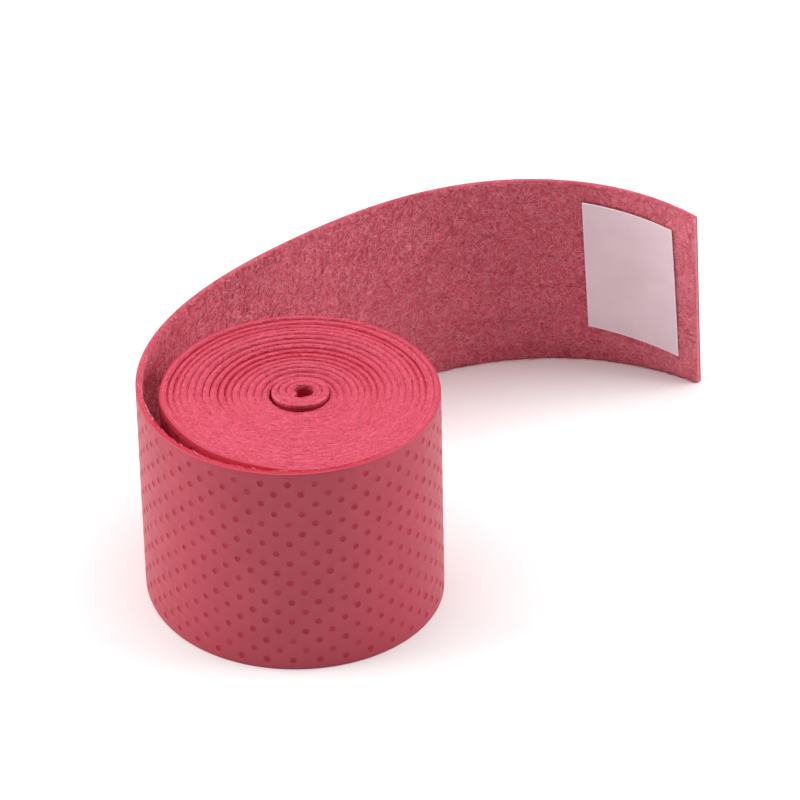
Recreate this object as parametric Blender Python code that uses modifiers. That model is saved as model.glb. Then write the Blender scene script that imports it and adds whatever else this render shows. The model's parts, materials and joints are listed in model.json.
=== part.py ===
"""Grip tape for a racket handle: a roll that stands on its edge, with its outer end pulled loose.

The tape is a polyurethane skin bonded to a felt backing. It is wound on itself without a core, skin
outwards and clockwise as seen from above. The outer turn lifts off at the front, passes round the
left side and ends behind the roll, where the felt carries a patch of adhesive under a release liner.
The loose end flexes at four upright hinges, and the liner peels open about its inner edge.

Metres, +Z up. The origin is the middle of the underside of the whole tape's bounding box.
"""

import math

import bmesh
import bpy
from mathutils import Vector

MM = 0.001

# The tape's layers, from its outer face inwards.
TAPE_WIDTH = 25.0 * MM
SKIN_THICKNESS = 0.22 * MM
BOND_GAP = 0.02 * MM
FELT_THICKNESS = 0.42 * MM
SURFACE_GAP = 0.08 * MM
ADHESIVE_THICKNESS = 0.08 * MM
LINER_THICKNESS = 0.10 * MM

# The wound turns. Radii are those of the skin's outer face.
INNER_RADIUS = 1.63 * MM
TURN_PITCH = 0.75 * MM
TURN_COUNT = 17.51
STATIONS_PER_TURN = 24
LIFT_OFF_ANGLE = math.radians(-60.0)
# The first turns are a tighter core, wider than deep, which sits towards the back and leaves a
# crescent in front of it.
CORE_TURNS = 1.85
CORE_EASING = 0.48
CORE_GAP = 0.42 * MM
CORE_SHIFT = Vector((0.10 * MM, 0.38 * MM))
CORE_WIDENING = 0.08

# The loose end: distance from the lift-off point, and the radius that the outer face bends to there.
LOOSE_BENDS = (
    (0.0 * MM, 15.2 * MM),
    (6.0 * MM, 16.2 * MM),
    (18.0 * MM, 16.2 * MM),
    (30.0 * MM, 19.2 * MM),
    (42.0 * MM, 26.0 * MM),
    (54.0 * MM, 43.0 * MM),
    (70.0 * MM, 110.0 * MM),
    (90.0 * MM, 31.0 * MM),
    (110.0 * MM, 23.2 * MM),
    (120.0 * MM, 30.0 * MM),
)
LOOSE_LENGTH = 119.9 * MM
TRACE_STEP = 0.5 * MM
# The loose end twists, so that its foot drifts outwards, most at the cut end.
TWIST_START = 60.0 * MM
TWIST_LEAN = 4.2 * MM
# The cut end slants: its foot is shorter than its head, which the last lines across the tape share.
CUT_SLANT = 2.4 * MM
SLANT_START = 112.0 * MM

# The hinges that let the loose end flex, and the cut between two lengths of tape at each.
FIRST_HINGE = 36.0 * MM
HINGE_SPACING = 18.0 * MM
HINGE_COUNT = 4
HINGE_CUT = 0.5 * MM
LOOSE_STATION_SPACING = 1.25 * MM

# The release liner's corners, as distance along the loose end and height. It is cut by hand, not square.
LINER_FOOT = (Vector((105.5 * MM, 5.2 * MM)), Vector((115.7 * MM, 3.5 * MM)))
LINER_HEAD = (Vector((105.1 * MM, 22.7 * MM)), Vector((116.5 * MM, 22.0 * MM)))
LINER_SPANS = 8
# The share of the liner's size by which it covers the adhesive patch on each side.
LINER_MARGIN = 0.03

TURN_SAMPLE = 0.001
COLLECTION_NAME = "grip_tape_roll"
SKIN_LOOK = ((0.62, 0.075, 0.125), 0.42)
FELT_LOOK = ((0.74, 0.135, 0.205), 0.95)
ADHESIVE_LOOK = ((0.80, 0.62, 0.62), 0.15)
LINER_LOOK = ((0.74, 0.60, 0.65), 0.55)


def clear_scene():
    for item in list(bpy.data.objects):
        bpy.data.objects.remove(item)


def make_collection(name):
    collection = bpy.data.collections.new(name)
    bpy.context.scene.collection.children.link(collection)
    return collection


def make_material(name, look):
    colour, roughness = look
    material = bpy.data.materials.new(name)
    material.use_nodes = True
    shader = material.node_tree.nodes["Principled BSDF"]
    shader.inputs["Base Color"].default_value = (*colour, 1.0)
    shader.inputs["Roughness"].default_value = roughness
    shader.inputs["Metallic"].default_value = 0.0
    material.diffuse_color = (*colour, 1.0)
    return material


def direction(angle):
    return Vector((math.cos(angle), math.sin(angle)))


def right_of(heading):
    """The side of the tape's path that its felt faces."""
    return Vector((heading.y, -heading.x))


def eased(value, start, end):
    share = min(max((value - start) / (end - start), 0.0), 1.0)
    return share * share * (3.0 - 2.0 * share)


def wound_point(turn):
    """The skin's outer face in plan, that many turns out from the inner end."""
    freed = eased(turn, CORE_TURNS, CORE_TURNS + CORE_EASING)
    radius = INNER_RADIUS + TURN_PITCH * turn + CORE_GAP * freed
    place = radius * direction(LIFT_OFF_ANGLE + math.tau * (TURN_COUNT - turn))
    widening = Vector((CORE_WIDENING * place.x, 0.0))
    return place + (CORE_SHIFT + widening) * (1.0 - freed)


def wound_heading(turn):
    return (wound_point(turn + TURN_SAMPLE) - wound_point(turn - TURN_SAMPLE)).normalized()


def bend_at(distance):
    """The loose end's curvature, which changes evenly from each point of LOOSE_BENDS to the next."""
    for (start, start_radius), (end, end_radius) in zip(LOOSE_BENDS, LOOSE_BENDS[1:]):
        if distance <= end:
            share = (distance - start) / (end - start)
            return (1.0 - share) / start_radius + share / end_radius
    return 1.0 / LOOSE_BENDS[-1][1]


def loose_place(distance):
    """The outer face in plan and its heading, that far along the loose end."""
    place = wound_point(TURN_COUNT)
    heading = wound_heading(TURN_COUNT)
    angle = math.atan2(heading.y, heading.x)
    steps = max(1, math.ceil(distance / TRACE_STEP))
    step = distance / steps
    for index in range(steps):
        turned = step * bend_at((index + 0.5) * step)
        place = place + step * direction(angle - turned / 2.0)
        angle -= turned
    return place, direction(angle)


def upright(place, heading):
    """A line across the tape, from its foot to its head, each a point and the felt's side there."""
    side = right_of(heading).to_3d()
    return (place.to_3d(), side), (Vector((*place, TAPE_WIDTH)), side)


def wound_line(turn):
    return upright(wound_point(turn), wound_heading(turn))


def loose_line(distance, slant=0.0):
    """The line across the loose end that far from the lift-off point, its foot nearer by the slant."""
    _, head = upright(*loose_place(distance))
    foot_distance = distance - slant
    (foot, side), _ = upright(*loose_place(foot_distance))
    twist = max(0.0, (foot_distance - TWIST_START) / (LOOSE_LENGTH - TWIST_START)) ** 2
    foot = foot - TWIST_LEAN * twist * side
    # The felt's lower edge is the lowest on a leaning tape, and it meets the ground.
    foot.z = TAPE_THICKNESS * TWIST_LEAN * twist / TAPE_WIDTH
    return (foot, side), head


def spot_on(line, share):
    """A place on a line across the tape, at a share of the tape's width, and the felt's side there."""
    (foot, foot_side), (head, head_side) = line
    return foot.lerp(head, share), foot_side.lerp(head_side, share)


def evenly(start, end, count):
    return [start + (end - start) * index / count for index in range(count + 1)]


def wound_lines():
    count = math.ceil(TURN_COUNT * STATIONS_PER_TURN)
    last = TURN_COUNT * STATIONS_PER_TURN
    turns = [(last - count + 1 + index) / STATIONS_PER_TURN for index in range(count)]
    return [wound_line(turn) for turn in turns]


def loose_lines(start, end):
    lines = []
    for distance in evenly(start, end, math.ceil((end - start) / LOOSE_STATION_SPACING)):
        late = max(0.0, (distance - SLANT_START) / (LOOSE_LENGTH - SLANT_START))
        lines.append(loose_line(distance, CUT_SLANT * late))
    return lines


def liner_spot(corners, share):
    """The spot on the tape under a point of the liner's lower or upper edge."""
    distance, height = corners[0].lerp(corners[1], share)
    return spot_on(loose_line(distance), height / TAPE_WIDTH)


def liner_lines(margin):
    """Lines from the liner's lower edge to its upper edge, that share of its size inside its outline."""
    lines = []
    for share in evenly(margin, 1.0 - margin, LINER_SPANS):
        edge_to_edge = (liner_spot(LINER_FOOT, share), liner_spot(LINER_HEAD, share))
        lines.append((spot_on(edge_to_edge, margin), spot_on(edge_to_edge, 1.0 - margin)))
    return lines


def make_layer(name, lines, depth, thickness, look, pivot):
    """A strip through the lines, that deep below the outer face, thickened towards the felt's side."""
    spans = len(lines) - 1
    strip = bmesh.new()
    bmesh.ops.create_grid(strip, x_segments=spans, y_segments=1, size=0.5)
    for vertex in strip.verts:
        line = lines[round((vertex.co.x + 0.5) * spans)]
        place, side = line[0] if vertex.co.y < 0.0 else line[1]
        vertex.co = place + depth * side - pivot_place(pivot)
    mesh = bpy.data.meshes.new(name)
    strip.to_mesh(mesh)
    strip.free()
    mesh.shade_smooth()
    layer = bpy.data.objects.new(name, mesh)
    layer.data.materials.append(make_material(name, look))
    layer.parent = pivot
    solidify = layer.modifiers.new("thickness", "SOLIDIFY")
    solidify.thickness = thickness
    solidify.offset = 1.0
    solidify.use_even_offset = True
    parts.objects.link(layer)


def pivot_place(pivot):
    """Where a pivot stands relative to the roll's axis."""
    place = Vector((0.0, 0.0, 0.0))
    while pivot is not None:
        place = place + pivot.location
        pivot = pivot.parent
    return place


def make_pivot(name, place, parent):
    pivot = bpy.data.objects.new(name, None)
    pivot.empty_display_size = 5.0 * MM
    pivot.location = place - pivot_place(parent)
    pivot.parent = parent
    parts.objects.link(pivot)
    return pivot


def make_tape(suffix, lines, pivot):
    """A length of tape: its skin and its felt, with the line of glue between them left as a gap."""
    make_layer(f"skin_{suffix}", lines, 0.0, SKIN_THICKNESS, SKIN_LOOK, pivot)
    felt_depth = SKIN_THICKNESS + BOND_GAP
    make_layer(f"felt_{suffix}", lines, felt_depth, FELT_THICKNESS, FELT_LOOK, pivot)


def hinge_distance(number):
    return FIRST_HINGE + (number - 1) * HINGE_SPACING


def make_wound_tape(roll):
    """The wound turns and the loose outer turn, up to the first hinge."""
    lines = wound_lines()
    lines += loose_lines(0.0, hinge_distance(1) - HINGE_CUT / 2.0)[1:]
    make_tape("roll", lines, roll)


def make_tail(number, parent):
    """One flexing length of the loose end, from its hinge to the next or to the cut end."""
    start = hinge_distance(number)
    end = hinge_distance(number + 1) - HINGE_CUT / 2.0 if number < HINGE_COUNT else LOOSE_LENGTH
    place, side = spot_on(loose_line(start), 0.5)
    middle = place + TAPE_THICKNESS / 2.0 * side
    pivot = make_pivot(f"tail_{number}_hinge", middle, parent)
    make_tape(f"tail_{number}", loose_lines(start + HINGE_CUT / 2.0, end), pivot)
    return pivot


def make_adhesive(pivot):
    depth = TAPE_THICKNESS + SURFACE_GAP
    lines = liner_lines(LINER_MARGIN)
    make_layer("adhesive_patch", lines, depth, ADHESIVE_THICKNESS, ADHESIVE_LOOK, pivot)


def make_liner(parent):
    depth = TAPE_THICKNESS + SURFACE_GAP + ADHESIVE_THICKNESS + SURFACE_GAP
    lines = liner_lines(0.0)
    place, side = spot_on(lines[0], 0.5)
    middle = place + (depth + LINER_THICKNESS / 2.0) * side
    pivot = make_pivot("liner_hinge", middle, parent)
    make_layer("release_liner", lines, depth, LINER_THICKNESS, LINER_LOOK, pivot)


def stand_on_origin(roll):
    """Moves the roll's axis so that the bounding box's underside is centred on the origin."""
    bpy.context.view_layer.update()
    graph = bpy.context.evaluated_depsgraph_get()
    corners = []
    for item in parts.objects:
        if item.type == "MESH":
            shown = item.evaluated_get(graph)
            corners += [shown.matrix_world @ Vector(corner) for corner in shown.bound_box]
    for axis in range(2):
        values = [corner[axis] for corner in corners]
        roll.location[axis] -= (min(values) + max(values)) / 2.0


TAPE_THICKNESS = SKIN_THICKNESS + BOND_GAP + FELT_THICKNESS

clear_scene()
parts = make_collection(COLLECTION_NAME)
roll_axis = make_pivot("roll_axis", Vector((0.0, 0.0, 0.0)), None)
make_wound_tape(roll_axis)
last_pivot = roll_axis
for tail_number in range(1, HINGE_COUNT + 1):
    last_pivot = make_tail(tail_number, last_pivot)
make_adhesive(last_pivot)
make_liner(last_pivot)
stand_on_origin(roll_axis)
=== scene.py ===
import json
import math

import bmesh
import bpy
import numpy as np
from mathutils import Matrix, Vector


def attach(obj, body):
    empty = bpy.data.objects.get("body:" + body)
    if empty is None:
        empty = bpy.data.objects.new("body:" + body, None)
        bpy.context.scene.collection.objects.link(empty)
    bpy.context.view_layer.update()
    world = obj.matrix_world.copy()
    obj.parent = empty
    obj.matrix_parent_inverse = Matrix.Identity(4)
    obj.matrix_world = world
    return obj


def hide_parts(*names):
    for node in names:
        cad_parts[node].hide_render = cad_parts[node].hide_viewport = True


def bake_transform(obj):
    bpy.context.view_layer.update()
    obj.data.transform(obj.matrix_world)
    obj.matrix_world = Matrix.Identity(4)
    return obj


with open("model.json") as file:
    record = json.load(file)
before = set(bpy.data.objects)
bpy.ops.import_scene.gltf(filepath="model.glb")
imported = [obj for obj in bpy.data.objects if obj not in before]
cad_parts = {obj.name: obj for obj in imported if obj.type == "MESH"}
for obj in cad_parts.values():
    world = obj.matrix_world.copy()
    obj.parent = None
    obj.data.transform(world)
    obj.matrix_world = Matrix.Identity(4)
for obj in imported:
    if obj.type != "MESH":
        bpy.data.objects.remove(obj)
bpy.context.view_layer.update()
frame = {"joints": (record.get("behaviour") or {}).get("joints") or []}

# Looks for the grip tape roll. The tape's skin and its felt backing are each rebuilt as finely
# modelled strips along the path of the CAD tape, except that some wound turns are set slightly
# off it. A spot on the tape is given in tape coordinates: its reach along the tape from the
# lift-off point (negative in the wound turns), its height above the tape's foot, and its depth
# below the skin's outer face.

MM = 0.001

# The tape's layers, as in the CAD.
TAPE_WIDTH = 25.0 * MM
SKIN_THICKNESS = 0.22 * MM
BOND_GAP = 0.02 * MM
FELT_THICKNESS = 0.42 * MM
FELT_DEPTH = SKIN_THICKNESS + BOND_GAP
TAPE_THICKNESS = FELT_DEPTH + FELT_THICKNESS
SURFACE_GAP = 0.08 * MM
ADHESIVE_THICKNESS = 0.08 * MM
LINER_THICKNESS = 0.10 * MM

# The wound turns, as in the CAD. Radii are those of the skin's outer face.
INNER_RADIUS = 1.63 * MM
TURN_PITCH = 0.75 * MM
TURN_COUNT = 17.51
LIFT_OFF_ANGLE = math.radians(-60.0)
# The first turns are a tighter core, wider than deep, which sits towards the back.
CORE_TURNS = 1.85
CORE_EASING = 0.48
CORE_GAP = 0.42 * MM
CORE_SHIFT = (0.10 * MM, 0.38 * MM)
CORE_WIDENING = (0.08, 0.0)

# Where the wound turns leave the CAD's: the tape starts further in, and its core stands proud.
FIRST_TURN = -0.30
CORE_RISE = 0.35 * MM
# The inner turns stand off the roll's axis, tight together at the front and looser at the back.
INNER_DRIFT = (0.32 * MM, -0.62 * MM)
DRIFT_TURNS = (2.0, 14.0)
TIGHT_SIDE = math.radians(-88.0)
# Cosines of the angle away from the tight side, where the turns are loosest and tightest.
TIGHT_COSINES = (-0.85, 0.45)
# The outer turns are pressed in where the loose tape first swings clear of them.
PRESSED_SIDE = math.radians(-133.0)
PRESSED_DEPTH = 0.58 * MM
PRESSED_TURNS = (2.5, 16.5)
# Cosines of the angle away from the pressed side, where the pressing starts and is deepest.
PRESSED_COSINES = (0.7, 1.0)

# How finely the path is traced, and how far past the tape's ends.
WOUND_SAMPLES = 12600
TURN_SAMPLE = 0.001
TRACE_STEP = 0.05 * MM
TURNS_BEFORE_START = 0.05
LENGTH_PAST_END = 2.0 * MM

# The loose end, as in the CAD: distance from the lift-off point, and the radius that the outer
# face bends to there.
LOOSE_BENDS = (
    (0.0 * MM, 15.2 * MM),
    (6.0 * MM, 16.2 * MM),
    (18.0 * MM, 16.2 * MM),
    (30.0 * MM, 19.2 * MM),
    (42.0 * MM, 26.0 * MM),
    (54.0 * MM, 43.0 * MM),
    (70.0 * MM, 110.0 * MM),
    (90.0 * MM, 31.0 * MM),
    (110.0 * MM, 23.2 * MM),
    (120.0 * MM, 30.0 * MM),
)
LOOSE_LENGTH = 119.9 * MM
# The loose end twists, so that its foot drifts outwards, most at the cut end.
TWIST_START = 60.0 * MM
TWIST_LEAN = 4.2 * MM
# The cut end slants: its foot is shorter than its head.
CUT_SLANT = 2.4 * MM
SLANT_START = 112.0 * MM
HINGES = (36.0 * MM, 54.0 * MM, 72.0 * MM, 90.0 * MM)
# How far to each side of its hinge a point on the tape's middle is taken.
BLEND_REACH = 7.0 * MM

# The release liner's corners as reach and height, and its size when laid flat.
LINER_FOOT = ((105.5 * MM, 5.2 * MM), (115.7 * MM, 3.5 * MM))
LINER_HEAD = ((105.1 * MM, 22.7 * MM), (116.5 * MM, 22.0 * MM))
# The share of the liner's size by which it covers the adhesive on each side.
LINER_MARGIN = 0.03
# The share of a patch taken up by the rim along each of its cut edges, which the paper shows as a
# painted highlight.
PATCH_HIGHLIGHT_RIM = 0.010

# Dimples stand in upright columns, every second column half a row higher. Each lies in a cell
# of its own, one column wide and one row high, whose rim has as many corners as the dimple.
COLUMN_PITCH = 1.4 * MM
ROW_PITCH = 2.5 * MM
SIDE_STEPS = 6
DIMPLE_CORNERS = 2 * SIDE_STEPS + 4
# How much the dimples differ in size, in depth and in place.
DIMPLE_SIZE_SPREAD = 0.04
DIMPLE_PRESS_SPREAD = 0.16
DIMPLE_DRIFT = 0.02 * MM
# The last figure of each ring, and of the floor below, is how much painted shade shows: the dimples
# are darker and redder inside.
DIMPLE_RINGS = (  # radius, depth and how much of the pressed-in colour shows
    (0.53 * MM, 0.000 * MM, 0.0),
    (0.45 * MM, -0.014 * MM, 0.0),
    (0.38 * MM, 0.002 * MM, 0.3),
    (0.30 * MM, 0.044 * MM, 0.8),
    (0.20 * MM, 0.064 * MM, 1.0),
    (0.10 * MM, 0.056 * MM, 0.9),
)
DIMPLE_FLOOR = (0.050 * MM, 0.6)
# The pattern starts a turn inside the lift-off point, as nothing further in can be seen. The
# tape is cut into stretches along the seam columns, clear of the hinges.
PATTERN_START_COLUMN = -70
SEAM_COLUMNS = (20, 33, 46, 59)
LAST_COLUMN = 85
# The skin inside the pattern's start has no dimples, so it is given half of the dimples' painted
# shade all over instead.
HIDDEN_SKIN_PAINTED_SHADE = 0.5
HIDDEN_SKIN_SPACING = 0.5 * MM

# The tape's upper edge is uneven over this much of its height. The unevenness is given in
# millimetres, from turn to turn and along each turn, and dies out where the tape comes loose.
LIP_REACH = 5.0 * MM
LIP_UNEVENNESS = (0.14, 0.05)
LIP_SETTLES = (-60.0 * MM, -10.0 * MM)

# The felt is finely divided along the loose end, and inside the roll only near its two edges.
# Levels are heights in millimetres.
FELT_START = -4.2 * MM
FELT_SPACING = 0.21 * MM
WOUND_FELT_SPACING = 0.20 * MM
FELT_LEVELS = np.linspace(0.3, 24.7, 116)
WOUND_FELT_LEVELS = np.array([0.4, 1.2, 23.8, 24.3, 24.6])
# How near the felt comes to the skin it is bonded to.
FELT_CREEP = 0.004 * MM
# How far the felt's fibres fray at the tape's cut end.
END_FRAY = 0.14 * MM
# How much more the felt's back corner is worn down where the turns stand apart.
GROOVE_WEAR = 0.18 * MM
# The felt's lumps in millimetres: how high they stand, and how wide they are.
FELT_LUMPS = ((0.030, 0.45), (0.022, 0.19), (0.020, 1.6))

# A fibre is a thin tube, with this many knots along it and sides round it, thinner at its ends.
FIBRE_KNOTS = 4
FIBRE_TAPER = (0.4, 1.0, 1.0, 0.4)
FIBRE_SIDES = 3

SEED = 41


# ---------------------------------------------------------------- the tape's path


def direction(angle):
    return np.stack([np.cos(angle), np.sin(angle)], axis=-1)


def eased(value, start, end):
    share = np.clip((value - start) / (end - start), 0.0, 1.0)
    return share * share * (3.0 - 2.0 * share)


def wound_point(turn):
    """The skin's outer face in plan, that many turns out from the inner end."""
    freed = eased(turn, CORE_TURNS, CORE_TURNS + CORE_EASING)[..., None]
    radius = INNER_RADIUS + TURN_PITCH * turn[..., None] + CORE_GAP * freed
    angle = LIFT_OFF_ANGLE + math.tau * (TURN_COUNT - turn)
    pressed = np.interp(turn, PRESSED_TURNS, (0.0, PRESSED_DEPTH))
    pressed = pressed * eased(np.cos(angle - PRESSED_SIDE), *PRESSED_COSINES)
    place = (radius - pressed[..., None]) * direction(angle)
    place = place + (np.array(CORE_SHIFT) + CORE_WIDENING * place) * (1.0 - freed)
    return place + np.array(INNER_DRIFT) * (1.0 - eased(turn, *DRIFT_TURNS)[..., None])


def trace_path():
    """Reach, place, course and turn of the skin's outer face, closely spaced along the tape."""
    turns = np.linspace(FIRST_TURN - TURNS_BEFORE_START, TURN_COUNT, WOUND_SAMPLES)
    wound = wound_point(turns)
    wound_reach = np.concatenate([[0.0], np.cumsum(np.hypot(*np.diff(wound, axis=0).T))])
    wound_reach -= wound_reach[-1]
    slope = wound_point(turns + TURN_SAMPLE) - wound_point(turns - TURN_SAMPLE)
    wound_course = np.unwrap(np.arctan2(slope[:, 1], slope[:, 0]))
    half_step = TRACE_STEP / 2.0
    middles = np.arange(0.0, LOOSE_LENGTH + LENGTH_PAST_END, TRACE_STEP) + half_step
    distances, radii = np.array(LOOSE_BENDS).T
    turned = TRACE_STEP * np.interp(middles, distances, 1.0 / radii)
    course = wound_course[-1] - np.cumsum(turned)
    loose = wound[-1] + np.cumsum(TRACE_STEP * direction(course + turned / 2.0), axis=0)
    return (
        np.concatenate([wound_reach, middles + half_step]),
        np.concatenate([wound, loose]),
        np.concatenate([wound_course, course]),
        np.concatenate([turns, np.full(len(middles), TURN_COUNT)]),
    )


PATH_REACH, PATH_PLACE, PATH_COURSE, PATH_TURN = trace_path()
WOUND_LENGTH = -float(
    np.interp(FIRST_TURN, PATH_TURN[:WOUND_SAMPLES], PATH_REACH[:WOUND_SAMPLES])
)


def place_at(reach):
    columns = [np.interp(reach, PATH_REACH, PATH_PLACE[:, axis]) for axis in (0, 1)]
    return np.stack(columns, axis=-1)


def heading_at(reach):
    return direction(np.interp(reach, PATH_REACH, PATH_COURSE))


def with_z(plan, z):
    return np.concatenate([plan, np.broadcast_to(z, plan.shape[:-1])[..., None]], axis=-1)


def tape_spot(reach, height, depth, axis=(0.0, 0.0, 0.0), slant=CUT_SLANT):
    """Spots on or in the tape, as points. Near the cut end, lines across it lean by the slant."""
    reach, height, depth = np.broadcast_arrays(reach, height, depth)
    late = np.clip((reach - SLANT_START) / (LOOSE_LENGTH - SLANT_START), 0.0, None)
    foot_reach = reach - slant * late
    twist = np.clip((foot_reach - TWIST_START) / (LOOSE_LENGTH - TWIST_START), 0.0, None) ** 2
    foot_heading, head_heading = heading_at(foot_reach), heading_at(reach)
    foot_side = np.stack([foot_heading[..., 1], -foot_heading[..., 0]], axis=-1)
    foot = place_at(foot_reach) - TWIST_LEAN * twist[..., None] * foot_side
    foot = with_z(foot, TAPE_THICKNESS * TWIST_LEAN * twist / TAPE_WIDTH)
    ruling = with_z(place_at(reach), TAPE_WIDTH) - foot
    share = (height / TAPE_WIDTH)[..., None]
    heading = with_z((1.0 - share) * foot_heading + share * head_heading, 0.0)
    inwards = np.cross(heading, ruling)
    inwards /= np.linalg.norm(inwards, axis=-1, keepdims=True)
    return foot + share * ruling + depth[..., None] * inwards + np.array(axis)


def roll_axis():
    """The roll's axis in the row frame, found from where the CAD puts the first hinge."""
    hinge = next(joint for joint in frame["joints"] if joint["name"] == "tail_1_flex")
    middle = tape_spot(HINGES[0], TAPE_WIDTH / 2.0, TAPE_THICKNESS / 2.0)
    offset = np.array(hinge["pos_m"]) - middle
    return (offset[0], offset[1], 0.0)


AXIS = roll_axis()


# ---------------------------------------------------------------- noise and mesh tools


def random_at(column, row, seed):
    """A repeatable random number from 0 to 1 for each lattice corner."""
    mixed = np.sin(column * 127.1 + row * 311.7 + seed * 74.7) * 43758.5453
    return mixed - np.floor(mixed)


def mottle(along, across, cell, seed):
    """Smooth noise from -1 to 1 over a plane, its blobs about as large as the cell."""
    x, y = along / cell, across / cell
    column, row = np.floor(x), np.floor(y)
    u, v = x - column, y - row
    u, v = u * u * (3.0 - 2.0 * u), v * v * (3.0 - 2.0 * v)
    low = random_at(column, row, seed) * (1.0 - u) + random_at(column + 1, row, seed) * u
    high = random_at(column, row + 1, seed) * (1.0 - u) + random_at(column + 1, row + 1, seed) * u
    return 2.0 * (low * (1.0 - v) + high * v) - 1.0


class Build:
    """A mesh in the making: vertices in tape coordinates, and faces as rows of vertex numbers."""

    def __init__(self, slant=CUT_SLANT):
        self.spots, self.tints, self.faces, self.count = [], [], [], 0
        self.slant = slant

    def add(self, reach, height, depth, tint=0.0):
        """Adds vertices and returns their numbers, in the arrays' own shape."""
        reach, height, depth, tint = np.broadcast_arrays(reach, height, depth, tint)
        self.spots.append(np.stack([reach, height, depth], axis=-1).reshape(-1, 3))
        self.tints.append(tint.reshape(-1))
        numbers = self.count + np.arange(reach.size).reshape(reach.shape)
        self.count += reach.size
        return numbers

    def quads(self, grid):
        """Faces between neighbours in a grid of vertex numbers."""
        corners = (grid[:-1, :-1], grid[1:, :-1], grid[1:, 1:], grid[:-1, 1:])
        self.faces.append(np.stack([corner.reshape(-1) for corner in corners], axis=-1))

    def face(self, numbers):
        self.faces.append(np.array(numbers).reshape(1, -1))

    def ring(self, outer, inner):
        """Faces between two closed loops with as many vertices each."""
        loop = np.stack([np.append(outer, outer[0]), np.append(inner, inner[0])])
        self.quads(loop)

    def fan(self, loop, centre):
        after = np.roll(loop, -1)
        self.faces.append(np.stack([loop, after, np.full(len(loop), centre)], axis=-1))

    def finish(self, name, material, sharp=50.0):
        spots, tints = np.concatenate(self.spots), np.concatenate(self.tints)
        points = tape_spot(spots[:, 0], spots[:, 1], spots[:, 2], AXIS, self.slant)
        obj = make_object(name, points, self.faces, material)
        add_attributes(obj.data, spots, tints)
        face_outwards(obj.data)
        obj.data.shade_smooth()
        obj.data.set_sharp_from_angle(angle=math.radians(sharp))
        return obj


def make_object(name, points, faces, material):
    mesh = bpy.data.meshes.new(name)
    mesh.vertices.add(len(points))
    mesh.vertices.foreach_set("co", points.astype(np.float32).ravel())
    sizes = np.concatenate([np.full(len(rows), rows.shape[1]) for rows in faces])
    corners = np.concatenate([rows.reshape(-1) for rows in faces])
    mesh.loops.add(len(corners))
    mesh.loops.foreach_set("vertex_index", corners.astype(np.int32))
    mesh.polygons.add(len(sizes))
    starts = np.concatenate([[0], np.cumsum(sizes)[:-1]])
    mesh.polygons.foreach_set("loop_start", starts.astype(np.int32))
    mesh.update(calc_edges=True)
    mesh.validate()
    mesh.materials.append(material)
    obj = bpy.data.objects.new(name, mesh)
    bpy.context.scene.collection.objects.link(obj)
    return obj


def add_attributes(mesh, spots, tints):
    """What the materials read: each vertex's tape coordinates in millimetres, and its tint, which is
    the painted shade of the dimples on the skin, the painted highlight along the paper's rim and the
    paleness of each fibre.
    """
    tape = mesh.attributes.new("tape", "FLOAT_VECTOR", "POINT")
    tape.data.foreach_set("vector", (spots / MM).astype(np.float32).ravel())
    tint = mesh.attributes.new("tint", "FLOAT", "POINT")
    tint.data.foreach_set("value", tints.astype(np.float32))


def face_outwards(mesh):
    shell = bmesh.new()
    shell.from_mesh(mesh)
    bmesh.ops.recalc_face_normals(shell, faces=shell.faces)
    shell.to_mesh(mesh)
    shell.free()


# ---------------------------------------------------------------- materials


class Nodes:
    """A material's node tree, with short calls for the nodes used here."""

    def __init__(self, name):
        self.material = bpy.data.materials.new(name)
        self.material.use_nodes = True
        self.tree = self.material.node_tree
        self.shader = self.tree.nodes["Principled BSDF"]

    def add(self, kind, **inputs):
        node = self.tree.nodes.new(kind)
        for key, value in inputs.items():
            self.put(node.inputs[key.replace("_", " ")], value)
        return node

    def put(self, socket, value):
        if isinstance(value, bpy.types.NodeSocket):
            self.tree.links.new(value, socket)
        else:
            socket.default_value = value

    def set(self, **inputs):
        for key, value in inputs.items():
            self.put(self.shader.inputs[key.replace("_", " ")], value)

    def tape(self, scale=(1.0, 1.0, 1.0), turn=0.0):
        """Tape coordinates in millimetres, turned on the tape's face and then scaled."""
        spot = self.add("ShaderNodeAttribute")
        spot.attribute_name = "tape"
        mapping = self.add("ShaderNodeMapping", Vector=spot.outputs["Vector"])
        mapping.inputs["Rotation"].default_value = (0.0, 0.0, turn)
        mapping.inputs["Scale"].default_value = scale
        return mapping.outputs["Vector"]

    def reach(self):
        """Reach along the tape, in millimetres."""
        return self.add("ShaderNodeSeparateXYZ", Vector=self.tape()).outputs["X"]

    def tint(self):
        node = self.add("ShaderNodeAttribute")
        node.attribute_name = "tint"
        return node.outputs["Fac"]

    def noise(self, vector, scale, detail=2.0, roughness=0.5, distortion=0.0):
        node = self.add(
            "ShaderNodeTexNoise",
            Vector=vector,
            Scale=scale,
            Detail=detail,
            Roughness=roughness,
            Distortion=distortion,
        )
        return node.outputs["Fac"]

    def math(self, operation, first, second=0.0):
        node = self.add("ShaderNodeMath")
        node.operation = operation
        self.put(node.inputs[0], first)
        self.put(node.inputs[1], second)
        return node.outputs[0]

    def ramp(self, value, low, high, to_low=0.0, to_high=1.0):
        node = self.add("ShaderNodeMapRange", Value=value)
        node.clamp = True
        limits = {"From Min": low, "From Max": high, "To Min": to_low, "To Max": to_high}
        for key, limit in limits.items():
            self.put(node.inputs[key], limit)
        return node.outputs["Result"]

    def mix(self, share, first, second):
        node = self.add("ShaderNodeMix")
        node.data_type = "RGBA"
        self.put(node.inputs[0], share)
        self.put(node.inputs[6], first)
        self.put(node.inputs[7], second)
        return node.outputs[2]

    def bump(self, height, distance, strength=1.0):
        node = self.add("ShaderNodeBump", Height=height, Strength=strength, Distance=distance)
        self.put(self.shader.inputs["Normal"], node.outputs["Normal"])


def rgb(red, green, blue):
    return (red, green, blue, 1.0)


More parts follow.
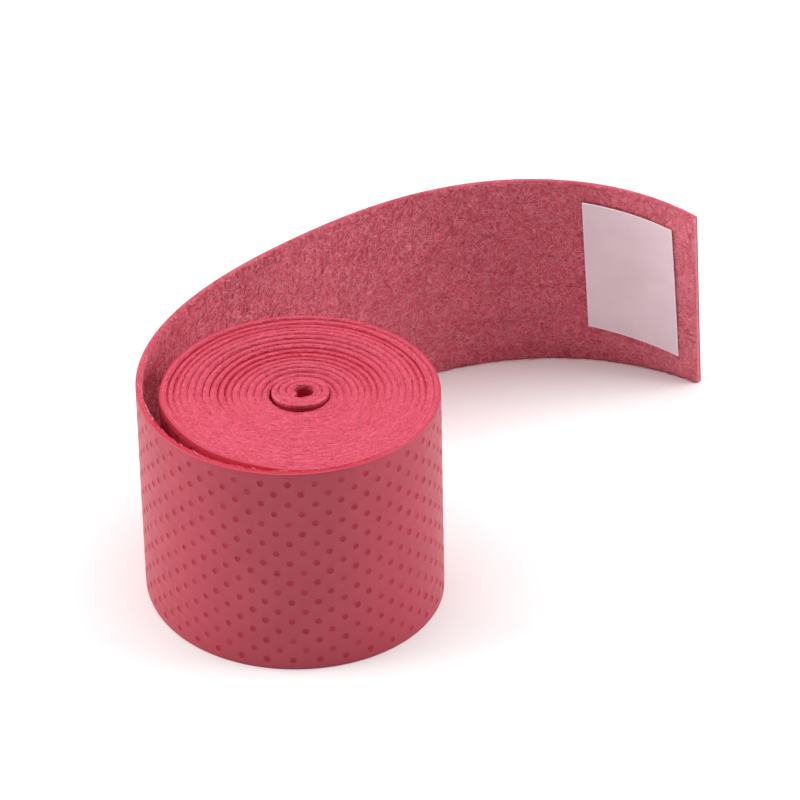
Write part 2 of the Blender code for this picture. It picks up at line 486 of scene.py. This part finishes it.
def fibre_lines(nodes, scale, width, turn=0.0, stretch=1.0):
    """Thin curly lines like loose fibres lying on the felt, 1 along each line and 0 between them."""
    level = nodes.noise(nodes.tape((1.0, stretch, 1.0), turn), scale, 1.0, 0.4, 0.35)
    away = nodes.math("ABSOLUTE", nodes.math("SUBTRACT", level, 0.5))
    return nodes.ramp(away, 0.35 * width, width, 1.0, 0.0)


def edge_share(nodes, rim):
    """1 on the tape's cut edges at its foot and head, 0 more than the rim's width away from them."""
    height = nodes.add("ShaderNodeSeparateXYZ", Vector=nodes.tape()).outputs["Y"]
    middle = TAPE_WIDTH / MM / 2.0
    off_middle = nodes.math("ABSOLUTE", nodes.math("SUBTRACT", height, middle))
    return nodes.ramp(off_middle, middle - rim, middle - rim / 3.0)


def felt_web(nodes):
    """The felt's pale tangle of fibres: three sets of curly lines, thinned out in patches."""
    lines = fibre_lines(nodes, 2.9, 0.070)
    for scale, width, turn, stretch in ((4.2, 0.080, 0.9, 1.3), (2.0, 0.045, 2.0, 0.8)):
        lines = nodes.math("MAXIMUM", lines, fibre_lines(nodes, scale, width, turn, stretch))
    patchy = nodes.ramp(nodes.noise(nodes.tape(), 1.6, 3.0, 0.7), 0.34, 0.60, 0.20, 1.0)
    return nodes.math("MULTIPLY", lines, patchy)


def felt_material():
    nodes = Nodes("felt")
    web = felt_web(nodes)
    blotch = nodes.ramp(nodes.noise(nodes.tape(), 0.45, 3.0, 0.6), 0.3, 0.7)
    # Painted shade: the felt's pits are darkened, on its face and on its cut edges.
    shaded_pits = nodes.ramp(nodes.noise(nodes.tape(), 3.2, 1.0, 0.6), 0.55, 0.60)
    edge = edge_share(nodes, 0.25)
    reach = nodes.reach()
    # The face: brighter near the roll and paler at the cut end, both painted light, and plain red
    # inside the roll.
    base = nodes.mix(blotch, rgb(0.500, 0.030, 0.072), rgb(0.600, 0.050, 0.100))
    face = nodes.mix(nodes.math("MULTIPLY", shaded_pits, 0.90), base, rgb(0.330, 0.007, 0.026))
    face = nodes.mix(nodes.math("MULTIPLY", web, 0.65), face, rgb(0.980, 0.380, 0.450))
    painted_light_near_roll = nodes.ramp(reach, 20.0, 60.0, 0.8, 0.0)
    painted_light_at_cut_end = nodes.ramp(reach, 106.0, 116.0, 0.0, 0.40)
    in_roll = nodes.ramp(reach, -5.0, -4.0, 1.0, 0.0)
    face = nodes.mix(painted_light_near_roll, face, rgb(0.980, 0.150, 0.220))
    # Painted light: the face is made paler towards the cut end.
    face = nodes.mix(painted_light_at_cut_end, face, rgb(0.900, 0.320, 0.390))
    face = nodes.mix(in_roll, face, rgb(0.640, 0.030, 0.066))
    # The cut edges: a little painted shade in their pits, redder where the tape rounds the roll, and
    # paler along the loose end.
    rim = nodes.mix(blotch, rgb(0.600, 0.064, 0.120), rgb(0.650, 0.070, 0.125))
    rim = nodes.mix(nodes.math("MULTIPLY", shaded_pits, 0.25), rim, rgb(0.520, 0.030, 0.070))
    rim = nodes.mix(nodes.math("MULTIPLY", web, 0.45), rim, rgb(0.840, 0.200, 0.265))
    around = nodes.ramp(reach, -4.0, 0.0, 0.0, nodes.ramp(reach, 26.0, 42.0, 0.75, 0.15))
    rim = nodes.mix(around, rim, rgb(0.620, 0.026, 0.062))
    along_loose_end = nodes.ramp(reach, 32.0, 55.0, 0.0, 0.65)
    rim = nodes.mix(along_loose_end, rim, rgb(0.640, 0.190, 0.250))
    nodes.set(Base_Color=nodes.mix(edge, face, rim), Roughness=0.95, Specular_IOR_Level=0.06)
    relief = nodes.math("SUBTRACT", web, nodes.math("MULTIPLY", shaded_pits, 0.8))
    nodes.bump(relief, 0.03 * MM, 0.8)
    return nodes.material


def fibre_material():
    nodes = Nodes("felt_fibre")
    shade = nodes.noise(nodes.tape((0.4, 0.4, 0.4)), 1.7, 1.0)
    pale = nodes.mix(nodes.tint(), rgb(0.740, 0.082, 0.142), rgb(0.990, 0.375, 0.445))
    colour = nodes.mix(nodes.ramp(shade, 0.35, 0.7, 0.0, 0.4), pale, rgb(0.790, 0.085, 0.150))
    nodes.set(Base_Color=colour, Roughness=0.8, Specular_IOR_Level=0.06)
    return nodes.material


def skin_material():
    nodes = Nodes("skin")
    cloud = nodes.ramp(nodes.noise(nodes.tape(), 0.16, 3.0, 0.55), 0.3, 0.7)
    grain = nodes.noise(nodes.tape(), 9.0, 3.0, 0.6)
    soft = nodes.noise(nodes.tape(), 1.1, 2.0, 0.5)
    worn = nodes.noise(nodes.tape(), 2.4, 3.0, 0.65)
    reach = nodes.reach()
    # The outer face, darker in the dimples by painted shade, and brighter and redder by painted light
    # in the gap where the tape comes loose.
    face = nodes.mix(cloud, rgb(0.410, 0.026, 0.054), rgb(0.450, 0.033, 0.064))
    face = nodes.mix(nodes.tint(), face, rgb(0.390, 0.014, 0.034))
    # Painted light: the skin is made brighter and redder in the gap where the tape comes loose.
    painted_light_in_gap = nodes.ramp(reach, -80.0, -67.0, 1.0, 0.0)
    in_roll = nodes.ramp(reach, -99.0, -98.0, 1.0, 0.0)
    face = nodes.mix(painted_light_in_gap, face, rgb(0.780, 0.045, 0.090))
    face = nodes.mix(in_roll, face, rgb(0.460, 0.018, 0.042))
    # The cut edges: worn pale inside the roll, and paler again along the loose end.
    inner = nodes.mix(
        nodes.ramp(worn, 0.42, 0.60), rgb(0.540, 0.045, 0.090), rgb(0.740, 0.110, 0.170)
    )
    outer = nodes.mix(
        nodes.ramp(grain, 0.35, 0.65), rgb(0.500, 0.028, 0.060), rgb(0.560, 0.048, 0.085)
    )
    outer = nodes.mix(nodes.ramp(reach, 25.0, 50.0, 0.0, 0.7), outer, rgb(0.700, 0.180, 0.240))
    cut = nodes.mix(nodes.ramp(reach, -100.0, -80.0), inner, outer)
    colour = nodes.mix(edge_share(nodes, 0.06), face, cut)
    nodes.set(Base_Color=colour, Roughness=nodes.ramp(soft, 0.3, 0.7, 0.42, 0.52))
    nodes.set(Specular_IOR_Level=nodes.ramp(nodes.tint(), 0.0, 1.0, 0.50, 0.25))
    nodes.bump(nodes.math("ADD", grain, nodes.math("MULTIPLY", soft, 0.6)), 0.006 * MM, 0.6)
    return nodes.material


def paper_material():
    nodes = Nodes("release_paper")
    pulp = nodes.noise(nodes.tape(), 2.6, 4.0, 0.6)
    cloud = nodes.noise(nodes.tape(), 0.22, 2.0, 0.5)
    base = nodes.mix(nodes.ramp(cloud, 0.3, 0.7), rgb(0.76, 0.610, 0.662), rgb(0.82, 0.690, 0.742))
    base = nodes.mix(nodes.ramp(pulp, 0.35, 0.75, 0.0, 0.25), base, rgb(0.86, 0.730, 0.770))
    # Painted highlight: the rim's tint makes the paper pale along its cut edges.
    colour = nodes.mix(nodes.tint(), base, rgb(0.97, 0.910, 0.930))
    nodes.set(Base_Color=colour, Roughness=0.42, Specular_IOR_Level=0.4)
    nodes.bump(pulp, 0.004 * MM, 0.5)
    return nodes.material


def adhesive_material():
    nodes = Nodes("adhesive_film")
    ripple = nodes.noise(nodes.tape(), 1.3, 3.0, 0.55, 0.4)
    colour = nodes.mix(nodes.ramp(ripple, 0.35, 0.7), rgb(0.74, 0.42, 0.44), rgb(0.84, 0.60, 0.60))
    nodes.set(Base_Color=colour, Roughness=0.14, Coat_Weight=0.5, Coat_Roughness=0.08)
    nodes.bump(ripple, 0.02 * MM, 0.4)
    return nodes.material


def floor_material():
    nodes = Nodes("studio_floor")
    nodes.set(Base_Color=rgb(0.97, 0.97, 0.97), Roughness=0.9, Specular_IOR_Level=0.1)
    return nodes.material


# ---------------------------------------------------------------- the skin


SKIN_PROFILE = (  # depth and height in millimetres, from the outer face round the back
    (0.00, 0.10), (0.02, 0.035), (0.06, 0.0), (0.14, 0.0), (0.22, 0.0),
    (0.22, 25.0), (0.14, 25.0), (0.07, 24.985), (0.02, 24.94), (0.00, 24.88),
)


def tightness(reach):
    """1 at the front, where the turns are pressed together; 0 at the back, where they stand apart."""
    outwards = np.interp(reach, PATH_REACH, PATH_COURSE) + math.pi / 2.0
    return eased(np.cos(outwards - TIGHT_SIDE), *TIGHT_COSINES)


def lip(reach):
    """How far the tape's upper edge stands from its nominal height, turn by turn."""
    turn = np.interp(reach, PATH_REACH, PATH_TURN)
    wound = 1.0 - eased(reach, *LIP_SETTLES)
    level = mottle(turn * 0.77, np.zeros_like(turn), 1.0, SEED + 3)
    slow = mottle(reach, np.full_like(reach, 0.3), 9.0 * MM, SEED + 4)
    uneven = (LIP_UNEVENNESS[0] * level + LIP_UNEVENNESS[1] * slow) * MM
    core = 1.0 - eased(turn, CORE_TURNS - 0.25, CORE_TURNS + CORE_EASING)
    return wound * (1.0 - 0.7 * tightness(reach)) * uneven + CORE_RISE * core


def raised(reach, height):
    """Height with the upper edge's unevenness, which fades out down the tape."""
    share = np.clip((height - (TAPE_WIDTH - LIP_REACH)) / LIP_REACH, 0.0, 1.0)
    return height + share * lip(reach)


def skin_loft(build, stations, tint=0.0):
    """The skin's back and edges, without its outer face."""
    depths, heights = (np.array(SKIN_PROFILE) * MM).T
    along = stations[:, None] + 0.0 * depths
    high = raised(along, heights[None, :] + 0.0 * along)
    grid = build.add(along, high, depths[None, :], tint)
    build.quads(grid)
    return grid


def dimpled_strip(name, first, last, material, end=None):
    """The skin over those columns of dimples, and on to the end if one is given."""
    build = Build()
    half_columns = np.arange(2 * first, 2 * last + 1) * COLUMN_PITCH / 2.0
    stations = half_columns if end is None else np.append(half_columns, end)
    grid = skin_loft(build, stations)
    rows = round(TAPE_WIDTH / ROW_PITCH)
    levels = np.arange(1, rows * SIDE_STEPS) * ROW_PITCH / SIDE_STEPS
    uprights = []
    for column in range(first, last + 1):
        station = grid[2 * (column - first)]
        inner = build.add(column * COLUMN_PITCH, levels, 0.0)
        uprights.append(np.concatenate([station[:1], inner, station[-1:]]))
    draws = np.random.default_rng(SEED + 1000 + first)
    for column in range(first, last):
        left, right = uprights[column - first], uprights[column - first + 1]
        middle = (column + 0.5) * COLUMN_PITCH
        station = grid[2 * (column - first) + 1]
        shift = SIDE_STEPS // 2 if column % 2 else 0
        steps = list(range(shift, rows * SIDE_STEPS - shift + 1, SIDE_STEPS))
        # A shifted column's cells stop short of the tape's edges, so half cells fill the ends.
        own_steps = np.array(steps if shift else steps[1:-1])
        mids = build.add(middle, own_steps * ROW_PITCH / SIDE_STEPS, 0.0)
        if shift:
            edge_cell(build, left[:shift + 1], right[:shift + 1], station[0], mids[0])
            edge_cell(build, left[-shift - 1:], right[-shift - 1:], mids[-1], station[-1])
        else:
            mids = np.concatenate([station[:1], mids, station[-1:]])
        for step, lower, upper in zip(steps, mids, mids[1:]):
            rim = cell_rim(left, right, step, lower, upper)
            centre_height = (step + SIDE_STEPS / 2.0) * ROW_PITCH / SIDE_STEPS
            add_dimple(build, rim, middle, centre_height, draws)
    build.face(np.concatenate([grid[0], uprights[0][-2:0:-1]]))
    if end is None:
        build.face(np.concatenate([grid[-1], uprights[-1][-2:0:-1]]))
    else:
        build.face(np.concatenate([uprights[-1], grid[-1][[-1, 0]]]))
        build.face(grid[-1])
    return build.finish(name, material)


def add_dimple(build, rim, reach, height, draws):
    """A round pit inside its cell's rim, each a little different in size, depth and place."""
    size = 1.0 + DIMPLE_SIZE_SPREAD * draws.normal()
    press = 1.0 + DIMPLE_PRESS_SPREAD * draws.normal()
    reach, height = np.array([reach, height]) + DIMPLE_DRIFT * draws.normal(size=2)
    angles = np.arange(DIMPLE_CORNERS) * math.tau / DIMPLE_CORNERS
    loop = rim
    # Each ring's tint is the painted shade in the dimple, fuller where it is pressed deeper.
    for radius, depth, tint in DIMPLE_RINGS:
        ring = build.add(
            reach + size * radius * np.cos(angles),
            height + size * radius * np.sin(angles),
            depth * press,
            tint * min(1.0, press),
        )
        build.ring(loop, ring)
        loop = ring
    floor_depth, floor_tint = DIMPLE_FLOOR
    build.fan(loop, int(build.add(reach, height, floor_depth * press, floor_tint)))


def cell_rim(left, right, step, lower, upper):
    """The corners of a dimple's cell, counter-clockwise from the middle of its right side."""
    bottom, centre, top = step, step + SIDE_STEPS // 2, step + SIDE_STEPS
    return np.concatenate(
        [right[centre:top + 1], [upper], left[bottom:top + 1][::-1], [lower], right[bottom:centre]]
    )


def edge_cell(build, left, right, lower, upper):
    """A half cell without a dimple, at the foot or the head of every second column."""
    build.face(np.concatenate([left[::-1], [lower], right, [upper]]))


def plain_skin(name, start, end, material):
    """The skin without dimples, for the turns whose outer face is out of sight."""
    build = Build()
    stations = np.linspace(start, end, math.ceil((end - start) / HIDDEN_SKIN_SPACING))
    grid = skin_loft(build, stations, HIDDEN_SKIN_PAINTED_SHADE)
    build.quads(np.stack([grid[:, -1], grid[:, 0]], axis=1))
    build.face(grid[0])
    build.face(grid[-1])
    return build.finish(name, material)


# ---------------------------------------------------------------- the felt


def felt_outline(face_levels):
    """The felt's section, all round: depth, height, roughness and share of the back corner."""
    skin_side, back = (SKIN_THICKNESS + FELT_CREEP) / MM, TAPE_THICKNESS / MM
    width = TAPE_WIDTH / MM
    edge = (
        (skin_side, 0.01, 0.0, 0.0),
        (skin_side + 0.06, 0.0, 0.8, 0.0),
        (skin_side + 0.15, 0.0, 1.0, 0.0),
        (skin_side + 0.22, 0.0, 1.0, 0.0),
        (back - 0.15, 0.015, 1.0, 0.4),
        (back - 0.08, 0.05, 1.0, 1.0),
        (back - 0.02, 0.13, 1.0, 1.3),
    )
    foot = [(depth, height, rough, 0.0) for depth, height, rough, _ in edge]
    head = [(depth, width - height, rough, corner) for depth, height, rough, corner in edge[::-1]]
    face = [(back, level, 1.0, 0.0) for level in face_levels]
    return np.array(foot + face + head)


def felt_swell(along, across, rough, heights):
    """How far the felt's lumpy surface stands out; the lumps are lower along the upper edge."""
    lumps = sum(
        amount * mottle(along, across, cell * MM, SEED + 5 + number)
        for number, (amount, cell) in enumerate(FELT_LUMPS)
    )
    return lumps * rough * (1.0 - 0.45 * (heights > 24.8 * MM)) * MM


def felt_gap_fill(reach, corner):
    """How far the felt's head swells towards the next turn in; at the front it fills the groove."""
    wound = (1.0 - eased(reach, -4.0 * MM, 0.0))[:, None]
    front = tightness(reach)[:, None]
    patchy = eased(mottle(reach, np.zeros_like(reach), 2.3 * MM, SEED + 9), -0.2, 0.8)[:, None]
    ragged = 0.025 * mottle(reach, np.zeros_like(reach), 0.5 * MM, SEED + 10)[:, None]
    apart = (0.06 + 0.03 * patchy + ragged) * (1.0 - front)
    return wound * (0.085 - apart + 0.075 * front * corner[None, :].clip(0.0, 1.0)) * MM


def felt_strip(name, start, end, spacing, face_levels, material):
    build = Build()
    stations = np.linspace(start, end, math.ceil((end - start) / spacing) + 1)
    depths, heights, rough, corner = felt_outline(face_levels).T
    depths, heights = depths * MM, heights * MM
    run = np.roll(depths, -1) - np.roll(depths, 1)
    rise = np.roll(heights, -1) - np.roll(heights, 1)
    length = np.hypot(run, rise)
    out_depth, out_height = rise / length, -run / length
    around = np.concatenate([[0.0], np.cumsum(np.hypot(np.diff(depths), np.diff(heights)))])
    along = stations[:, None] + 0.0 * around
    across = around[None, :] + 0.0 * along
    swell = felt_swell(along, across, rough, heights)

    # The felt's head swells towards the next turn, over its top millimetre.
    head_share = np.clip((heights - 24.0 * MM) / (0.5 * MM), 0.0, 1.0) * (rough > 0.9)
    fill = felt_gap_fill(stations, corner) * head_share[None, :]
    taper = np.clip((depths - FELT_DEPTH) / (0.3 * MM), 0.0, 1.0)
    depth = depths[None, :] + swell * out_depth[None, :] + fill * taper[None, :]

    # At the back the felt's corner is worn into a groove; at the front it is level with the edge.
    ragged = 1.0 + 0.6 * mottle(stations, np.full_like(stations, 0.7), 0.55 * MM, SEED + 8)
    front = tightness(stations)[:, None]
    worn = GROOVE_WEAR * corner[None, :] * ragged[:, None] * (1.0 - front)
    flush = 0.8 * front * (corner > 0.0) * (TAPE_WIDTH - heights)
    height = raised(along, heights[None, :] + swell * out_height[None, :] + flush - worn)
    height = np.maximum(height, 0.0)

    at_cut_end = (stations > LOOSE_LENGTH - 0.5 * spacing)[:, None]
    fray = END_FRAY * mottle(across, np.full_like(across, 0.2), 0.35 * MM, SEED + 11)
    grid = build.add(along + at_cut_end * fray, height, depth)
    build.quads(np.concatenate([grid, grid[:, :1]], axis=1))
    build.face(grid[0])
    build.face(grid[-1])
    return build.finish(name, material, 80.0)


# ---------------------------------------------------------------- fibres


def fibres(name, count, reach, height, depth, lift, length, radius, tint, material, seed):
    """Loose fibres on the tape: thin closed tubes that lie along curved lines in tape coordinates.

    reach and either height or depth are the ranges that the fibres' middles are drawn from; lift
    is the range by which they stand off the face, towards greater depth, or upwards where depth is
    a range.
    """
    draws = np.random.default_rng(SEED + seed)
    on_edge = isinstance(depth, tuple)
    long = draws.uniform(*length, count)
    middle_reach = draws.uniform(*reach, (count, 1))
    middle_across = draws.uniform(*(depth if on_edge else height), (count, 1))
    swirl = 3.0 * mottle(middle_reach[:, 0], middle_across[:, 0], 4.0 * MM, SEED + 60)
    angle = swirl + draws.normal(0.0, 0.9, count)
    bend = draws.normal(0.0, 1.2, count)
    share = np.linspace(-0.5, 0.5, FIBRE_KNOTS)
    course = angle[:, None] + bend[:, None] * share[None, :]
    step = long[:, None] / (FIBRE_KNOTS - 1)
    run = centred_sums(step * np.cos(course[:, 1:]))
    rise = centred_sums(step * np.sin(course[:, 1:]))
    arch = draws.uniform(*lift, (count, 1)) * np.cos(math.pi * share)[None, :]
    arch = arch + 0.012 * MM * draws.normal(size=(count, FIBRE_KNOTS))
    along = middle_reach + run
    if on_edge:
        deep = middle_across + 0.35 * rise
        high = np.maximum(raised(along, np.full_like(along, height)) + arch, 0.02 * MM)
    else:
        deep = depth + arch
        high = np.clip(middle_across + rise, 0.04 * MM, TAPE_WIDTH + 0.12 * MM)
    along = np.clip(along, reach[0], reach[1])
    line = tape_spot(along, high, deep, AXIS)
    girth = radius * draws.uniform(0.7, 1.3, (count, 1)) * np.array(FIBRE_TAPER)
    tints = draws.uniform(*tint, count)
    points, faces = tubes(line, girth)
    middle = np.stack([along, high, deep], axis=-1)[:, :, None, :]
    spots = np.broadcast_to(middle, (count, FIBRE_KNOTS, FIBRE_SIDES, 3)).reshape(-1, 3)
    obj = make_object(name, points, faces, material)
    add_attributes(obj.data, spots, np.repeat(tints, FIBRE_KNOTS * FIBRE_SIDES))
    obj.data.shade_smooth()
    return obj


def centred_sums(steps):
    """Running sums along each row, starting at 0 and then moved so that each row's mean is 0."""
    sums = np.concatenate([np.zeros((len(steps), 1)), np.cumsum(steps, axis=1)], axis=1)
    return sums - sums.mean(axis=1, keepdims=True)


def tubes(line, girth):
    """Three-sided closed tubes along many lines at once: points, and faces as rows of numbers."""
    count, knots, _ = line.shape
    tangent = np.gradient(line, axis=1)
    tangent /= np.linalg.norm(tangent, axis=-1, keepdims=True)
    first = np.cross(tangent, np.broadcast_to([0.31, 0.87, 0.38], tangent.shape))
    first /= np.linalg.norm(first, axis=-1, keepdims=True)
    second = np.cross(tangent, first)
    angles = (np.arange(FIBRE_SIDES) * math.tau / FIBRE_SIDES)[:, None]
    spread = first[:, :, None, :] * np.cos(angles) + second[:, :, None, :] * np.sin(angles)
    points = line[:, :, None, :] + girth[:, :, None, None] * spread
    numbers = np.arange(count * knots * FIBRE_SIDES).reshape(count, knots, FIBRE_SIDES)
    around = np.concatenate([numbers, numbers[:, :, :1]], axis=2)
    corners = (around[:, :-1, :-1], around[:, :-1, 1:], around[:, 1:, 1:], around[:, 1:, :-1])
    sides = np.stack([corner.reshape(-1) for corner in corners], axis=-1)
    caps = np.concatenate([numbers[:, 0, ::-1], numbers[:, -1, :]])
    return points.reshape(-1, 3), [sides, caps]


# ---------------------------------------------------------------- liner and adhesive


def tape_patch(name, margin, depth, thickness, spans, material):
    """A thin patch on the felt, inside the liner's outline by that share of its size on each side."""
    build = Build(slant=0.0)
    rims = (margin + PATCH_HIGHLIGHT_RIM, 1.0 - margin - PATCH_HIGHLIGHT_RIM)
    across, upwards = (
        np.insert(np.linspace(margin, 1.0 - margin, count + 1), [1, count], rims)
        for count in spans
    )
    across, upwards = across[:, None], upwards[None, :]
    foot, head = np.array(LINER_FOOT), np.array(LINER_HEAD)
    low = foot[0] + (foot[1] - foot[0]) * across[..., None]
    high = head[0] + (head[1] - head[0]) * across[..., None]
    spot = low + (high - low) * upwards[..., None]
    # The rim's tint is a painted highlight along the paper's cut edges.
    rim = np.ones(spot.shape[:2])
    rim[1:-1, 1:-1] = 0.0
    front = build.add(spot[..., 0], spot[..., 1], depth + thickness, rim)
    back = build.add(spot[..., 0], spot[..., 1], depth, rim)
    build.quads(front)
    build.quads(back)
    for side in (0, -1):
        build.quads(np.stack([front[side], back[side]]))
        build.quads(np.stack([front[:, side], back[:, side]]))
    return build.finish(name, material, 40.0)


# ---------------------------------------------------------------- putting the object together


def mid_tape(reach):
    return [float(x) for x in tape_spot(reach, TAPE_WIDTH / 2.0, TAPE_THICKNESS / 2.0, AXIS)]


def follow(obj, number):
    """Stretch 0 rides on the roll; each later stretch stays where it is built, its placement baked
    into its mesh.
    """
    if number == 0:
        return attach(obj, "roll")
    hinge = HINGES[number - 1]
    start, end = mid_tape(hinge - BLEND_REACH), mid_tape(hinge + BLEND_REACH)
    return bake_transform(obj)


def make_skin():
    material = skin_material()
    pattern_start = PATTERN_START_COLUMN * COLUMN_PITCH
    wound = plain_skin("skin_wound", -WOUND_LENGTH, pattern_start, material)
    follow(wound, 0)
    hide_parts("skin_roll")
    columns = (PATTERN_START_COLUMN, *SEAM_COLUMNS, LAST_COLUMN)
    for number, (first, last) in enumerate(zip(columns, columns[1:])):
        end = LOOSE_LENGTH if last == LAST_COLUMN else None
        piece = dimpled_strip(f"skin_{number}", first, last, material, end)
        follow(piece, number)
        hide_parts("skin_roll" if number == 0 else f"skin_tail_{number}")


def make_wound_felt(felt, fibre):
    wound = felt_strip(
        "felt_wound", -WOUND_LENGTH, FELT_START, WOUND_FELT_SPACING, WOUND_FELT_LEVELS, felt
    )
    follow(wound, 0)
    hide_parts("felt_roll")
    for name, seed, length in (
        ("fibres_wound", 20, (0.3 * MM, 1.0 * MM)),
        ("fluff_wound", 21, (0.15 * MM, 0.5 * MM)),
    ):
        tuft = fibres(
            name,
            count=8500,
            reach=(-WOUND_LENGTH, 0.0),
            height=TAPE_WIDTH,
            depth=(FELT_DEPTH + 0.05 * MM, TAPE_THICKNESS + 0.15 * MM),
            lift=(0.0, 0.05 * MM),
            length=length,
            radius=0.019 * MM,
            tint=(0.0, 0.5),
            material=fibre,
            seed=seed,
        )
        follow(tuft, 0)


def loose_felt_fibres(number, start, end, fibre):
    """The fibres of one stretch: lying on its face, standing on its edge and hanging at its foot."""
    span = end - start
    by_roll = number == 0
    lying = fibres(
        f"fibres_face_{number}",
        count=round((4.0 if by_roll else 5.5) * span / MM * TAPE_WIDTH / MM),
        reach=(start, end),
        height=(0.0, TAPE_WIDTH),
        depth=TAPE_THICKNESS,
        lift=(0.0, 0.07 * MM),
        length=(0.5 * MM, 1.7 * MM),
        radius=0.033 * MM,
        tint=(0.2, 1.2),
        material=fibre,
        seed=30 + number,
    )
    edge = fibres(
        f"fibres_edge_{number}",
        count=round((10.0 if by_roll else 24.0) * span / MM),
        reach=(start, end),
        height=TAPE_WIDTH,
        depth=(FELT_DEPTH, TAPE_THICKNESS),
        lift=(0.0, 0.12 * MM),
        length=(0.3 * MM, 1.1 * MM),
        radius=0.015 * MM,
        tint=(0.0, 0.3 if by_roll else 1.0),
        material=fibre,
        seed=40 + number,
    )
    stray = fibres(
        f"fibres_foot_{number}",
        count=round(2.0 * span / MM),
        reach=(start, end),
        height=0.0,
        depth=(TAPE_THICKNESS, TAPE_THICKNESS + 0.5 * MM),
        lift=(0.0, 0.04 * MM),
        length=(0.8 * MM, 2.6 * MM),
        radius=0.014 * MM,
        tint=(0.7, 1.0),
        material=fibre,
        seed=50 + number,
    )
    return [lying, edge, stray]


def make_loose_felt(felt, fibre):
    seams = [column * COLUMN_PITCH for column in SEAM_COLUMNS]
    for number, (start, end) in enumerate(zip((FELT_START, *seams), (*seams, LOOSE_LENGTH))):
        piece = felt_strip(f"felt_{number}", start, end, FELT_SPACING, FELT_LEVELS, felt)
        follow(piece, number)
        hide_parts("felt_roll" if number == 0 else f"felt_tail_{number}")
        extras = loose_felt_fibres(number, start, end, fibre)
        for extra in extras:
            follow(extra, number)


def make_felt():
    felt, fibre = felt_material(), fibre_material()
    make_wound_felt(felt, fibre)
    make_loose_felt(felt, fibre)


def make_patches():
    adhesive_depth = TAPE_THICKNESS + SURFACE_GAP
    liner_depth = adhesive_depth + ADHESIVE_THICKNESS + SURFACE_GAP
    film, paper = adhesive_material(), paper_material()
    patch = tape_patch(
        "adhesive_film", LINER_MARGIN, adhesive_depth, ADHESIVE_THICKNESS, (24, 36), film
    )
    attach(patch, "tail_4")
    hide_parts("adhesive_patch")
    liner = tape_patch("liner_paper", 0.0, liner_depth, LINER_THICKNESS, (28, 40), paper)
    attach(liner, "liner")
    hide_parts("release_liner")


# ---------------------------------------------------------------- studio


CAMERA_DISTANCE = 556.0 * MM
CAMERA_TILT = math.radians(33.81)
CAMERA_ROLL = math.radians(-1.26)
CAMERA_SIDEWAYS = 10.70 * MM
CAMERA_UPWARDS = 19.71 * MM
CAMERA_LENS = 231.56  # millimetres of focal length

# What the lamps face, and each lamp's azimuth, elevation, distance and size in metres, and power
# in watts. Azimuth 0 is the camera's side and 90 its right.
LAMP_AIM = (0.0, 0.0, 12.0 * MM)
LAMPS = {
    "overhead": (180.0, 86.0, 0.80, (0.90, 0.90), 6.5),
    "left_softbox": (-93.0, 27.0, 0.70, (0.50, 0.50), 4.2),
    "right_softbox": (93.0, 27.0, 0.70, (0.50, 0.50), 3.6),
}
WORLD_STRENGTH = 0.05
FLOOR_HALF_SIZE = 3.0


def make_camera():
    forward = Vector((0.0, math.cos(CAMERA_TILT), -math.sin(CAMERA_TILT)))
    level = Vector((1.0, 0.0, 0.0))
    upward = level.cross(forward)
    place = Vector(AXIS) - CAMERA_DISTANCE * forward
    place += CAMERA_SIDEWAYS * level + CAMERA_UPWARDS * upward
    right = math.cos(CAMERA_ROLL) * level + math.sin(CAMERA_ROLL) * upward
    above = math.cos(CAMERA_ROLL) * upward - math.sin(CAMERA_ROLL) * level
    camera = bpy.data.objects.new("camera", bpy.data.cameras.new("camera"))
    facing = Matrix((right, above, -forward)).transposed().to_4x4()
    camera.matrix_world = Matrix.Translation(place) @ facing
    camera.data.sensor_width = 36.0
    camera.data.lens = CAMERA_LENS
    camera.data.clip_start = 10.0 * MM
    camera.data.clip_end = 20.0
    bpy.context.scene.collection.objects.link(camera)
    bpy.context.scene.camera = camera


def make_softbox(name, azimuth, elevation, distance, size, power):
    """A rectangular lamp that faces the roll."""
    lamp = bpy.data.lights.new(name, "AREA")
    lamp.shape = "RECTANGLE"
    lamp.size, lamp.size_y = size
    lamp.energy = power
    obj = bpy.data.objects.new(name, lamp)
    turn, lift = math.radians(azimuth), math.radians(elevation)
    offset = Vector(
        (math.sin(turn) * math.cos(lift), -math.cos(turn) * math.cos(lift), math.sin(lift))
    )
    obj.location = Vector(LAMP_AIM) + distance * offset
    obj.rotation_euler = offset.to_track_quat("Z", "Y").to_euler()
    bpy.context.scene.collection.objects.link(obj)


def make_studio():
    scene = bpy.context.scene
    scene.view_settings.view_transform = "Standard"
    world = bpy.data.worlds.new("studio")
    world.use_nodes = True
    background = world.node_tree.nodes["Background"]
    background.inputs["Color"].default_value = rgb(1.0, 1.0, 1.0)
    background.inputs["Strength"].default_value = WORLD_STRENGTH
    scene.world = world
    for name, setting in LAMPS.items():
        make_softbox(name, *setting)
    corners = FLOOR_HALF_SIZE * np.array([(-1, -1, 0), (1, -1, 0), (1, 1, 0), (-1, 1, 0)])
    floor = make_object("floor", corners, [np.arange(4).reshape(1, 4)], floor_material())


make_camera()
make_skin()
make_felt()
make_patches()
make_studio()
